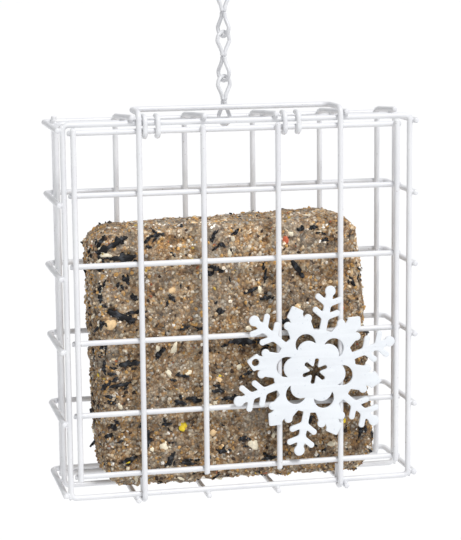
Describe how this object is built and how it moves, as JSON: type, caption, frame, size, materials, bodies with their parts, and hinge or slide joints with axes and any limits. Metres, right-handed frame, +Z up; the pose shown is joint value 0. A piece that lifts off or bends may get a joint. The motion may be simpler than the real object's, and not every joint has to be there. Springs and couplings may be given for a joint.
{
  "type": "suet feeder",
  "caption": "Hanging wire cage for a suet cake, with a bottom-hinged wire door, a snowflake ornament, a jack chain and a hook.",
  "frame": {"origin": "underside of the top of the hook's bend, where a branch or bracket carries the feeder", "axes": "+X to the right as one faces the door, +Y from the door to the back of the cage, +Z up"},
  "size_m": [0.132, 0.042, 0.2088],
  "materials": {
    "coated_wire": "satin",
    "chain_wire": "satin",
    "sheet_metal": "satin",
    "suet": "matt"
  },
  "bodies": {
    "hook": {"hanging_hook": "chain_wire"},
    "link_1": {"chain_link_1": "chain_wire"},
    "link_2": {"chain_link_2": "chain_wire"},
    "link_3": {"chain_link_3": "chain_wire"},
    "cage": {"front_ring": "coated_wire", "mid_ring": "coated_wire", "rear_floor_wire": "coated_wire", "side_band_1": "coated_wire", "side_band_2": "coated_wire", "side_band_3": "coated_wire", "side_band_4": "coated_wire", "side_band_5": "coated_wire", "side_band_6": "coated_wire", "back_upright_1": "coated_wire", "back_upright_2": "coated_wire", "back_upright_3": "coated_wire", "back_upright_4": "coated_wire", "back_upright_5": "coated_wire", "back_upright_6": "coated_wire"},
    "door": {"door_hoop_wire": "coated_wire", "door_upright_1": "coated_wire", "door_upright_2": "coated_wire", "door_upright_3": "coated_wire", "door_upright_4": "coated_wire", "door_crossbar_1": "coated_wire", "door_crossbar_2": "coated_wire", "door_crossbar_3": "coated_wire", "door_crossbar_4": "coated_wire", "door_crossbar_5": "coated_wire", "door_crossbar_6": "coated_wire", "clip_hook_1": "coated_wire", "clip_hook_2": "coated_wire", "clip_hook_3": "coated_wire", "clip_hook_4": "coated_wire", "snowflake": "sheet_metal"},
    "suet": {"suet_cake": "suet"}
  },
  "joints": [
    {"name": "top_link_swing", "type": "hinge", "parent": "hook", "child": "link_1", "pos_m": [0, 0, -0.0257], "axis": [-0.5, 0.866, 0], "range_deg": [-30, 30]},
    {"name": "upper_chain_bend", "type": "hinge", "parent": "link_1", "child": "link_2", "pos_m": [0, 0, -0.0397], "axis": [0.866, 0.5, 0], "range_deg": [-30, 30]},
    {"name": "lower_chain_bend", "type": "hinge", "parent": "link_2", "child": "link_3", "pos_m": [0, 0, -0.0573], "axis": [-0.5, 0.866, 0], "range_deg": [-30, 30]},
    {"name": "cage_swing", "type": "hinge", "parent": "link_3", "child": "cage", "pos_m": [0, 0, -0.07135], "axis": [1, 0, 0], "range_deg": [-12, 45]},
    {"name": "door_hinge", "type": "hinge", "parent": "cage", "child": "door", "pos_m": [0.0016, -0.0178, -0.20395], "axis": [1, 0, 0], "range_deg": [0, 170]},
    {"name": "suet_lift", "type": "slide", "parent": "cage", "child": "suet", "axis": [0, 0, 1], "range_m": [0, 0.03]}
  ]
}
